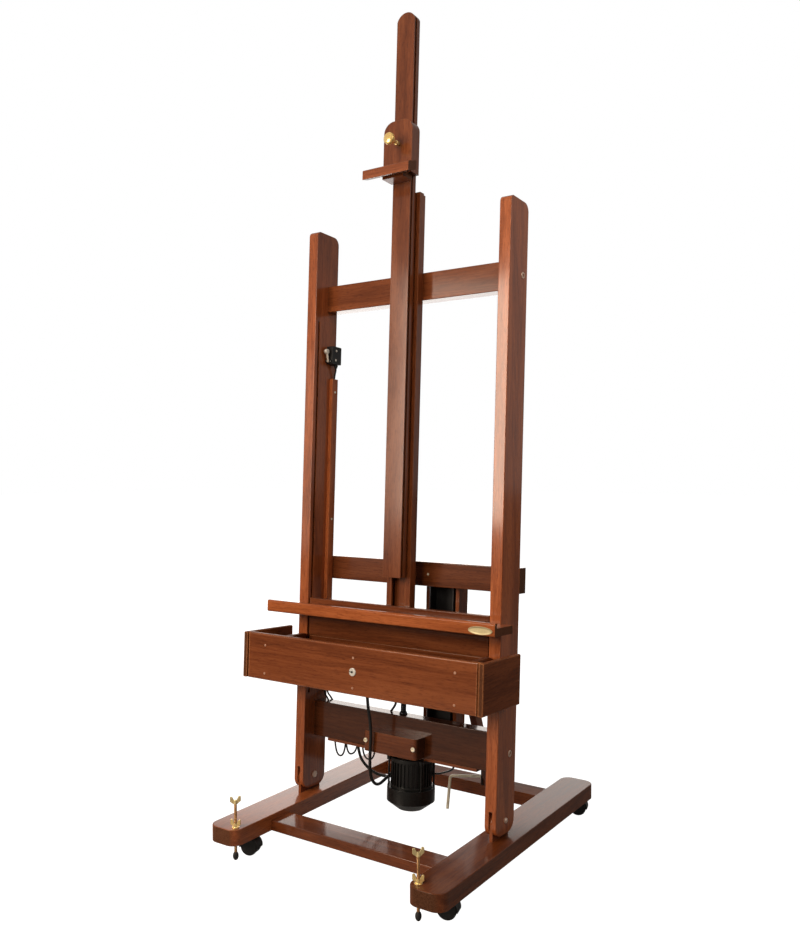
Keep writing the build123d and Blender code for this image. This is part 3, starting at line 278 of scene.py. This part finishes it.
def dark_coat(name, base, dusty, low, high, grain_scale, bump):
    """Paint, plastic, rubber or cable sheath: a fine texture, dust in it, and rubbed edges.

    The roughness runs from low to high.
    """
    d = Shader(name)
    grain = d.noise(d.stretched((grain_scale,) * 3), 1.0, 3.0)
    dust = d.noise(d.stretched((14, 14, 14)), 1.0, 4.0)
    normal, edge = d.edge(0.0008)
    colour = d.mix(d.ramp(dust, 0.45, 0.75), base, dusty)
    colour = d.mix(d.math("MULTIPLY", edge, 0.35), colour, scaled(dusty, 3))
    return d.finish(Base_Color=colour, Roughness=d.ramp(grain, 0.3, 0.7, low, high),
                    Normal=d.bump(grain, normal, bump, 0.0003))


def threaded_steel(name, pitch):
    """Dark oiled lead screw with its thread."""
    t = Shader(name)
    wave = t.thread(pitch)
    oil = t.noise(t.stretched((30, 30, 30)), 1.0, 3.0)
    colour = t.mix(wave, (0.015, 0.015, 0.017, 1), (0.11, 0.11, 0.12, 1))
    return t.finish(Base_Color=colour, Metallic=0.9, Roughness=t.ramp(oil, 0.3, 0.7, 0.25, 0.5),
                    Normal=t.bump(wave, None, 0.8, 0.0008))


finishes = {
    "wood_x": wood("stained_beech_x", 0),
    "wood_y": wood("stained_beech_y", 1),
    "wood_z": wood("stained_beech_z", 2),
    "brass": brass("polished_brass", (0.96, 0.66, 0.24, 1), (1.0, 0.82, 0.40, 1)),
    "zinc_steel": plated("warm_steel", (0.62, 0.50, 0.36, 1), (0.86, 0.76, 0.60, 1), 0.30, 0.48, 0.55),
    "black_paint": dark_coat("black_paint", (0.0025, 0.0024, 0.0020, 1), (0.0065, 0.0062, 0.0055, 1),
                             0.26, 0.42, 420, 0.12),
    "black_plastic": dark_coat("black_plastic", grey(0.008), grey(0.02), 0.38, 0.58, 900, 0.15),
    "black_rubber": dark_coat("black_rubber", grey(0.010), (0.026, 0.025, 0.024, 1), 0.55, 0.75, 600, 0.2),
    "chrome": plated("bright_chrome", (0.55, 0.55, 0.56, 1), (0.88, 0.88, 0.88, 1), 0.06, 0.16),
    "dark_steel": plated("dark_steel", (0.06, 0.06, 0.065, 1), (0.16, 0.16, 0.17, 1), 0.30, 0.50),
    "cord": dark_coat("cable_sheath", grey(0.007), grey(0.018), 0.32, 0.46, 300, 0.08),
}
# Boards that differ from the rest: stain (partly real stain, partly painted light and shade, lighter where a
# board is lit and darker where it is shaded), gloss, its scale on upward and downward faces, wear of the
# edges (partly a painted highlight)
BOARDS = {
    "upright_left": (1.85, 0.9),
    "upright_right": (2.0, 0.9),
    "raceway": (2.5, 0.6),
    "ledge": (1.75, 0.4),
    "clamp_arm": (1.25, 0.9),
    "mast": (0.95, 0.9),
    "top_rail": (1.0, 0.40, 1.0, 2.2),
    "rear_rail": (0.72, 0.8),
    "drive_rail": (0.38, 0.8),
    "drive_block": (0.75, 0.8),
    "back_board": (0.8, 0.6),
    "tray_front": (1.05, 0.65, 0.05, 1.0, 1.8),
    "tray_side_left": (1.0, 0.3, 0.05, 1.0, 1.8),
    "tray_side_right": (1.0, 0.25, 0.05, 1.0, 1.8),
    "tray_dividers": (0.9, 0.3, 0.05),
    "tray_floor": (0.9, 0.3, 0.05),
    "switch_housing": (0.9, 0.3, 0.05),
    "runner_left": (1.6, 0.9),
    "runner_right": (0.9, 0.55),
    "rear_cross_member": (1.3, 0.45, 0.05),
    "pivot_tongues": (1.4, 0.3),
}
GRAIN_AXIS = {"wood_x": 0, "wood_y": 1, "wood_z": 2}
# Height where the wing head of the levelling screws begins, in metres, and its share of their height
LEVEL_HEAD_Z = 0.145
level_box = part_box("levelling_screw_left")
head_share = (LEVEL_HEAD_Z - level_box[0][2]) / (level_box[1][2] - level_box[0][2])
# Thread pitches as drawn, in metres
LEVEL_PITCH = 0.001
LEAD_PITCH = 0.005
own_finish = {
    "limit_lever": plated("pale_steel", (0.72, 0.68, 0.58, 1), (0.94, 0.91, 0.82, 1), 0.25, 0.40, 0.35),
    "key_switch": plated("pale_chrome", (0.80, 0.77, 0.68, 1), (0.95, 0.93, 0.86, 1), 0.14, 0.24, 0.45),
    "clamp_handle": plated("pale_zinc", (0.92, 0.82, 0.60, 1), (1.0, 0.94, 0.78, 1), 0.22, 0.34, 0.10),
    "frame_bolts": plated("rosy_zinc", (0.60, 0.42, 0.32, 1), (0.84, 0.66, 0.53, 1), 0.28, 0.44, 0.5),
    "frame_screws": plated("bright_zinc", (0.88, 0.78, 0.56, 1), (1.0, 0.94, 0.78, 1), 0.18, 0.30, 0.30),
    "tray_screws": plated("coppered_steel", (0.42, 0.21, 0.13, 1), (0.62, 0.36, 0.24, 1), 0.30, 0.45, 0.5),
    "strut_bracket": dark_coat("brown_paint", (0.024, 0.011, 0.006, 1), (0.036, 0.018, 0.010, 1),
                               0.45, 0.60, 420, 0.12),
    "levelling_screw_left": brass("threaded_brass", (0.46, 0.23, 0.09, 1), (0.66, 0.38, 0.17, 1),
                                  LEVEL_PITCH, head_share),
    "lead_screw": threaded_steel("lead_screw_thread", LEAD_PITCH),
}
own_finish["key_plug"] = own_finish["key_switch"]
own_finish["levelling_screw_right"] = own_finish["levelling_screw_left"]
for entry in frame["record"]["subparts"]:
    node = entry["node"]
    slot = entry["material_slot"]
    if node in BOARDS:
        own_finish[node] = wood("stained_beech_" + node, GRAIN_AXIS[slot], *BOARDS[node])
    mesh = nodes[node].data
    mesh.materials.clear()
    mesh.materials.append(own_finish.get(node, finishes[slot]))


def add_piece(name, mesh, body, slot, smooth=True, finish=None):
    """Links a mesh as a piece that rides on a body, with its own finish or that of its slot."""
    piece = bpy.data.objects.new(name, mesh)
    bpy.context.scene.collection.objects.link(piece)
    mesh.materials.append(finish or finishes[slot])
    for polygon in mesh.polygons:
        polygon.use_smooth = smooth
    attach(piece, body)
    return piece


def join_loops(work, loops):
    """Faces between each loop of points and the next."""
    for a, b in zip(loops, loops[1:]):
        for i in range(len(a)):
            j = (i + 1) % len(a)
            work.faces.new((a[i], a[j], b[j], b[i]))


def prism(work, near, far):
    """Solid between two loops with as many points."""
    ends = [[work.verts.new(point) for point in loop] for loop in (near, far)]
    join_loops(work, ends)
    for end in ends:
        work.faces.new(end)


def finished_mesh(name, work):
    """Mesh of a piece of work, with its faces turned outward."""
    mesh = bpy.data.meshes.new(name)
    bmesh.ops.recalc_face_normals(work, faces=work.faces)
    work.to_mesh(mesh)
    work.free()
    return mesh


# Bare oval plate on the front of the ledge
BADGE_X = 301
BADGE_S = 502
BADGE_W = 62
BADGE_H = 19
BADGE_T = 1.2
BADGE_AROUND = 48
LEDGE_FRONT = -90


def oval_badge():
    """Oval plate with a raised rim and a slightly sunk field."""
    rings = [(1.0, 0.0), (1.0, 0.6), (0.97, 1.0), (0.90, 1.0), (0.87, 0.75), (0.45, 0.80)]
    work = bmesh.new()
    loops = []
    for share, rise in rings:
        inset = (1 - share) * BADGE_H / 2
        loop = []
        for i in range(BADGE_AROUND):
            turn = 2 * math.pi * i / BADGE_AROUND
            x = (BADGE_W / 2 - inset) * math.cos(turn)
            s = (BADGE_H / 2 - inset) * math.sin(turn)
            loop.append(work.verts.new(place(BADGE_X + x, LEDGE_FRONT - rise * BADGE_T, BADGE_S + s)))
        loops.append(loop)
    join_loops(work, loops)
    work.faces.new(loops[-1])
    dull = plated("dull_brass", (0.44, 0.36, 0.19, 1), (0.62, 0.53, 0.31, 1), 0.42, 0.60, 0.6)
    add_piece("badge", finished_mesh("badge", work), "carriage", "brass", finish=dull)


oval_badge()

# Ledge: a lip along the front stands above the shelf behind it
LEDGE_BACK = -4
LEDGE_S = 490.5
LEDGE_H = 30
LEDGE_R = 4
LIP_T = 10
LIP_RISE = 11
SHELF_R = 1.5
TONGUE_X = 262
BOARD_FRONT = 4
CORNER_STEPS = 6


def corner(d, s, radius, start):
    """Points of a round corner, a quarter turn from the start angle in degrees."""
    turns = [math.radians(start + 90 * i / CORNER_STEPS) for i in range(CORNER_STEPS + 1)]
    return [(d + radius * math.cos(a), s + radius * math.sin(a)) for a in turns]


def lipped_ledge():
    """Ledge with a rounded front, a lip and a tongue that runs between the uprights to the board."""
    top = LEDGE_S + LEDGE_H
    shelf = top - LIP_RISE
    lip_back = LEDGE_FRONT + LIP_T
    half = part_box("ledge")[1][0] / MM
    outline = corner(LEDGE_FRONT + LEDGE_R, LEDGE_S + LEDGE_R, LEDGE_R, 180)
    outline += [(LEDGE_BACK, LEDGE_S), (LEDGE_BACK, shelf), (lip_back, shelf)]
    outline += corner(lip_back - SHELF_R, top - SHELF_R, SHELF_R, 0)
    outline += corner(LEDGE_FRONT + LEDGE_R, top - LEDGE_R, LEDGE_R, 90)
    tongue = [(LEDGE_BACK, LEDGE_S), (BOARD_FRONT, LEDGE_S), (BOARD_FRONT, shelf), (LEDGE_BACK, shelf)]
    work = bmesh.new()
    for shape, reach in ((outline, half), (tongue, TONGUE_X)):
        prism(work, *[[place(x, d, s) for d, s in shape] for x in (-reach, reach)])
    mesh = finished_mesh("lipped_ledge", work)
    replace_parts(add_piece("lipped_ledge", mesh, "carriage", "wood_x", False, own_finish["ledge"]), "ledge")


lipped_ledge()


def turned(name, spots, axis, profile, body, slot, around=24, finish=None):
    """Turned pieces: a profile of radius and height in millimetres about an axis at each spot."""
    side = axis.orthogonal().normalized()
    other = axis.cross(side)
    turns = [2 * math.pi * i / around for i in range(around)]
    work = bmesh.new()
    for spot in spots:
        loops = []
        for radius, height in profile:
            centre = place(*spot) + axis * height * MM
            loops.append([work.verts.new(centre + (side * math.cos(a) + other * math.sin(a)) * radius * MM)
                          for a in turns])
        join_loops(work, loops)
        work.faces.new(loops[0])
        work.faces.new(loops[-1])
    add_piece(name, finished_mesh(name, work), body, slot, finish=finish)


# Domed face of the clamp knob
KNOB_FACE = -74
KNOB_S = 1681
KNOB_PROFILE = [(14.8, -2.6), (14.3, -1.2), (13.2, 0.1), (11, 1.1), (8, 1.9), (4.5, 2.4), (1.5, 2.6),
                (0.3, 2.62)]
turned("knob_dome", [(0, KNOB_FACE, KNOB_S)], -BACK, KNOB_PROFILE, "knob", "brass", 40)

# Dark plate on the plug of the key switch, painted shade where its key slot is, and the pointer line on its
# bezel
KEY_FACE = -162
KEY_S = 381.5
PLATE_T = 0.25


def thin_plate(name, outline, body, slot):
    """Thin plate on the front of the key switch, with an outline of X and height from its centre."""
    work = bmesh.new()
    prism(work, *[[place(x, d, KEY_S + h) for x, h in outline] for d in (KEY_FACE, KEY_FACE - PLATE_T)])
    add_piece(name, finished_mesh(name, work), body, slot, smooth=False)


KEYWAY_SHADE = [(-4.7, -1.0), (-1.6, -2.6), (1.8, -2.0), (2.8, 0), (1.8, 2.0), (-1.6, 2.6), (-4.7, 1.0)]
POINTER = [(-8.8, -1.0), (-5.4, -1.3), (-5.4, 1.3), (-8.8, 1.0)]
# A thin black plate stands in for the shade inside the key slot
thin_plate("keyway", KEYWAY_SHADE, "key", "black_plastic")
thin_plate("key_pointer", POINTER, "carriage", "black_plastic")

# Cover screws and cable gland of the limit switch
SIDEWAYS = Vector((1, 0, 0))
SWITCH_FACE = -255.5
SWITCH_SCREWS = [(SWITCH_FACE, 68.5, 1196.5), (SWITCH_FACE, 66.5, 1171)]
SCREW_PROFILE = [(3.3, 0), (3.3, 0.6), (2.7, 1.2), (1.4, 1.4), (1.1, 0.7), (0.4, 0.6)]
GLAND_SPOT = (-264, 78, 1160)
GLAND_PROFILE = [(5.4, 0), (5.4, 5.0), (4.4, 5.4), (4.4, 8.0), (3.2, 9.5), (2.4, 9.6)]
turned("switch_screws", SWITCH_SCREWS, SIDEWAYS, SCREW_PROFILE, "frame", "chrome",
       finish=own_finish["limit_lever"])
turned("switch_gland", [GLAND_SPOT], -UP, GLAND_PROFILE, "frame", "black_plastic")

# Trim along the front edge of the liner: its reach across, back and up the leaning frame
TRIM_X = (31.6, 34.4)
TRIM_D = (121.9, 123.9)
TRIM_S = (160, 571)
TRIM_EASE = 0.5


def metal_edge():
    """Thin bright trim along the front edge of the dark liner in the column."""
    (x0, x1), (d0, d1) = TRIM_X, TRIM_D
    outline = [(x0, d1), (x0, d0 + TRIM_EASE), (x0 + TRIM_EASE, d0),
               (x1 - TRIM_EASE, d0), (x1, d0 + TRIM_EASE), (x1, d1)]
    work = bmesh.new()
    prism(work, *[[place(x, d, s) for x, d in outline] for s in TRIM_S])
    add_piece("liner_trim", finished_mesh("liner_trim", work), "frame", "chrome", smooth=False)


metal_edge()

# Cords: the routes of the CAD, in millimetres on the leaning frame
MOTOR_ROUTE = [(-55, -24, 332.7), (-55, -24, 290), (-48, -10, 212), (-50, -10, 158), (-52, -7, 112),
               (-53, 4, 78), (-54, 34, 57), (-51, 72, 72), (-34, 104, 96), (9, 119, 104)]
TRAY_ROUTE = [(18, -10, 332.7), (18, -10, 304), (5, 20, 282), (-17, 48, 265), (-49, 75, 240)]
SUPPLY_ROUTE = [(-137, 56, 143), (-134, 59, 116), (-123, 69, 92), (-104, 84, 70), (-76, 99, 61),
                (-38, 110, 70), (9, 114, 88)]
SIDE_ROUTE = [(51, 118, 90), (72, 116, 92), (98, 104, 103), (126, 88, 116), (145, 76, 129), (150, 72, 143)]
WIRE_ROUTES = [
    [(-264, 78, 1160), (-264.5, 80, 1146), (-270, 82, 1134), (-270.5, 81, 1121)],
    [(-270.5, 85, 276), (-268, 85, 259), (-253, 82, 250), (-240, 77, 240)],
    [(-270.5, 74, 276), (-267, 72, 258), (-252, 66, 250), (-240, 60, 240)],
    [(-209, 50, 143), (-205, 50, 107), (-177, 50, 107), (-174, 50, 143)],
    [(-166, 44, 143), (-163, 45, 115), (-157, 76, 115), (-154, 77, 143)],
    [(-117, 50, 143), (-114, 50, 114), (-80, 50, 114), (-78, 50, 143)],
]
# Their diameters in millimetres
MOTOR_D = 8.0
TRAY_D = 6.0
SUPPLY_D = 7.5
SIDE_D = 5.0
WIRE_D = 4.6
# Where the two cables from the tray begin to follow the lift, and where they wholly do
MOTOR_STRETCH = ((-50, 0, 110), (-50, 0, 332))
TRAY_STRETCH = ((-17, 40, 246), (-17, 40, 332))


def route_curve(name, route, diameter):
    """Smooth NURBS line with the route's points as its control points."""
    curve = bpy.data.curves.new(name, "CURVE")
    curve.dimensions = "3D"
    curve.resolution_u = 16
    curve.bevel_depth = diameter * MM / 2
    curve.bevel_resolution = 5
    curve.use_fill_caps = True
    spline = curve.splines.new("NURBS")
    spline.points.add(len(route) - 1)
    for point, spot in zip(spline.points, route):
        point.co = (*place(*spot), 1)
    spline.order_u = 3
    spline.use_endpoint_u = True
    curve.materials.append(finishes["cord"])
    return curve


def centre_line(curve):
    """Points of a curve's own line, and their length."""
    depth = curve.bevel_depth
    curve.bevel_depth = 0
    probe = bpy.data.objects.new("probe", curve)
    bpy.context.scene.collection.objects.link(probe)
    bpy.context.view_layer.update()
    line = bpy.data.meshes.new_from_object(probe.evaluated_get(bpy.context.evaluated_depsgraph_get()))
    points = [v.co.copy() for v in line.vertices]
    bpy.data.objects.remove(probe)
    bpy.data.meshes.remove(line)
    curve.bevel_depth = depth
    return points, sum((b - a).length for a, b in zip(points, points[1:]))


def frame_cord(name, node, route, diameter):
    """Cord that stays with the frame."""
    curve = route_curve(name, route, diameter)
    length = centre_line(curve)[1]
    cord = bpy.data.objects.new(name, curve)
    bpy.context.scene.collection.objects.link(cord)
    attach(cord, "frame")
    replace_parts(cord, node)


frame_cord("supply_cord", "supply_cable", SUPPLY_ROUTE, SUPPLY_D)
frame_cord("side_cord", "supply_cable", SIDE_ROUTE, SIDE_D)
for number, route in enumerate(WIRE_ROUTES):
    frame_cord(f"wire_{number}", "switch_wire", route, WIRE_D)


def lift_cord(name, node, route, diameter, fixed, moving):
    """Cable that hangs from the tray, made as one fixed mesh."""
    curve = route_curve(name, route, diameter)
    points, length = centre_line(curve)
    source = bpy.data.objects.new(name + "_source", curve)
    bpy.context.scene.collection.objects.link(source)
    bpy.context.view_layer.update()
    mesh = bpy.data.meshes.new_from_object(source.evaluated_get(bpy.context.evaluated_depsgraph_get()))
    bpy.data.objects.remove(source)
    cord = bpy.data.objects.new(name, mesh)
    bpy.context.scene.collection.objects.link(cord)
    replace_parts(cord, node)
    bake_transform(cord)


lift_cord("motor_cord", "motor_cable", MOTOR_ROUTE, MOTOR_D, *MOTOR_STRETCH)
lift_cord("tray_cord", "tray_cable", TRAY_ROUTE, TRAY_D, *TRAY_STRETCH)


def light_panel(name, spot, target, size, radiance, colour=(1, 1, 1), spread=180, mirrored=True):
    """Soft rectangular light that the camera doesn't see, and that gloss may or may not mirror."""
    lamp = bpy.data.lights.new(name, "AREA")
    lamp.color = colour
    lamp.spread = math.radians(spread)
    lamp.shape = "RECTANGLE"
    lamp.size, lamp.size_y = size
    lamp.energy = radiance * math.pi * size[0] * size[1]
    holder = bpy.data.objects.new(name, lamp)
    bpy.context.scene.collection.objects.link(holder)
    holder.location = spot
    holder.rotation_euler = (Vector(target) - Vector(spot)).to_track_quat("-Z", "Y").to_euler()
    holder.visible_camera = False
    holder.visible_glossy = mirrored


light_panel("key_panel", (-1.05, -2.6, 1.58), (0.1, 0, 1.1), (1.05, 1.36), 11.0, (1.0, 0.84, 0.68))
light_panel("fill_panel", (0.35, -3.4, 1.9), (0, 0, 1.2), (1.0, 1.0), 12.5, (1.0, 0.87, 0.73), mirrored=False)
light_panel("top_panel", (-0.5, -1.8, 2.9), (-0.1, 0, 1.5), (1.2, 1.0), 0.9, (1.0, 0.90, 0.80), 75, False)
light_panel("right_panel", (2.4, -0.6, 2.4), (0.3, 0, 1.5), (1.2, 1.4), 0.8, (1.0, 0.88, 0.77), 70)
light_panel("left_panel", (-2.35, -2.5, 1.3), (-0.3, 0, 1.1), (1.1, 1.2), 1.0, (1.0, 0.88, 0.75))
light_panel("back_panel", (-2.4, 3.4, 0.93), (-0.6, 0, 0.93), (3.6, 1.8), 2.0, (1.0, 0.92, 0.86))
light_panel("rear_fill", (0.8, 3.4, 1.9), (0, 0, 1.0), (1.2, 1.2), 3.0, (1.0, 0.94, 0.88), mirrored=False)

# Surroundings: white to the camera, dim to the light that falls, brighter in mirrored gloss
BACKDROP = ((1, 1, 1, 1), 1.0)
AMBIENT = ((1.0, 0.985, 0.97, 1), 0.11)
SHEEN = ((1.0, 0.96, 0.92, 1), 0.35)


def studio_world():
    """World whose look depends on the kind of ray."""
    world = bpy.data.worlds.new("studio")
    bpy.context.scene.world = world
    world.use_nodes = True
    tree = world.node_tree

    def background(node, look):
        node.inputs["Color"].default_value, node.inputs["Strength"].default_value = look
        return node.outputs[0]

    def choice(ray, otherwise, then):
        node = tree.nodes.new("ShaderNodeMixShader")
        for socket, source in zip(node.inputs, (ray, otherwise, then)):
            tree.links.new(source, socket)
        return node.outputs[0]

    ray = tree.nodes.new("ShaderNodeLightPath").outputs
    backdrop = background(tree.nodes["Background"], BACKDROP)
    ambient = background(tree.nodes.new("ShaderNodeBackground"), AMBIENT)
    sheen = background(tree.nodes.new("ShaderNodeBackground"), SHEEN)
    unseen = choice(ray["Is Glossy Ray"], ambient, sheen)
    seen = choice(ray["Is Camera Ray"], unseen, backdrop)
    tree.links.new(seen, tree.nodes["World Output"].inputs[0])


studio_world()

# Floor, in metres; a stretch of it behind the easel and to its left glows with painted light, which only
# gloss mirrors
FLOOR_HALF = 30
FLOOR_DARK = 0.30
FLOOR_LIGHT = 0.34
GLOW = 0.9
GLOW_FROM_Y = (-0.1, 0.6)
GLOW_FROM_X = (0.3, -0.3)


def pale_floor():
    """Large pale floor, as bright as the backdrop to the camera and duller in the light that it bounces, with
    a painted glow that only gloss sees.
    """
    mesh = bpy.data.meshes.new("floor")
    corners = [(x * FLOOR_HALF, y * FLOOR_HALF, 0) for x, y in ((-1, -1), (1, -1), (1, 1), (-1, 1))]
    mesh.from_pydata(corners, [], [(0, 1, 2, 3)])
    floor = bpy.data.objects.new("floor", mesh)
    bpy.context.scene.collection.objects.link(floor)
    f = Shader("pale_floor")
    cloud = f.noise(f.stretched((3, 3, 3)), 1.0, 3.0)
    ray = f.add("ShaderNodeLightPath").outputs
    spot = f.add("ShaderNodeSeparateXYZ", {0: f.add("ShaderNodeTexCoord").outputs["Object"]}).outputs
    # Painted glow: emission on a stretch of floor, seen only by glossy rays
    painted_glow = f.math("MULTIPLY", f.ramp(spot[1], *GLOW_FROM_Y, 0.0, GLOW), f.ramp(spot[0], *GLOW_FROM_X))
    mirrored = f.math("MULTIPLY", ray["Is Glossy Ray"], painted_glow)
    seen = f.math("ADD", ray["Is Camera Ray"], mirrored)
    mesh.materials.append(f.finish(Base_Color=f.mix(cloud, grey(FLOOR_DARK), grey(FLOOR_LIGHT)),
                                   Roughness=0.8, Emission_Color=(1, 1, 1, 1), Emission_Strength=seen))


pale_floor()

camera = bpy.data.objects.new("camera", bpy.data.cameras.new("camera"))
bpy.context.scene.collection.objects.link(camera)
camera.location = CAMERA_PLACE
camera.rotation_euler = [math.radians(a) for a in (90 + CAMERA_PITCH, CAMERA_ROLL, CAMERA_YAW)]
long_side = max(PHOTO_PX)
camera.data.sensor_width = SENSOR_MM
camera.data.lens = FOCAL_PX * SENSOR_MM / long_side
camera.data.shift_x = (PHOTO_PX[0] / 2 - CENTRE_PX[0]) / long_side
camera.data.shift_y = (CENTRE_PX[1] - PHOTO_PX[1] / 2) / long_side
camera.data.dof.use_dof = False
bpy.context.scene.camera = camera
bpy.context.scene.view_settings.view_transform = "Standard"
bpy.context.scene.view_settings.look = "None"
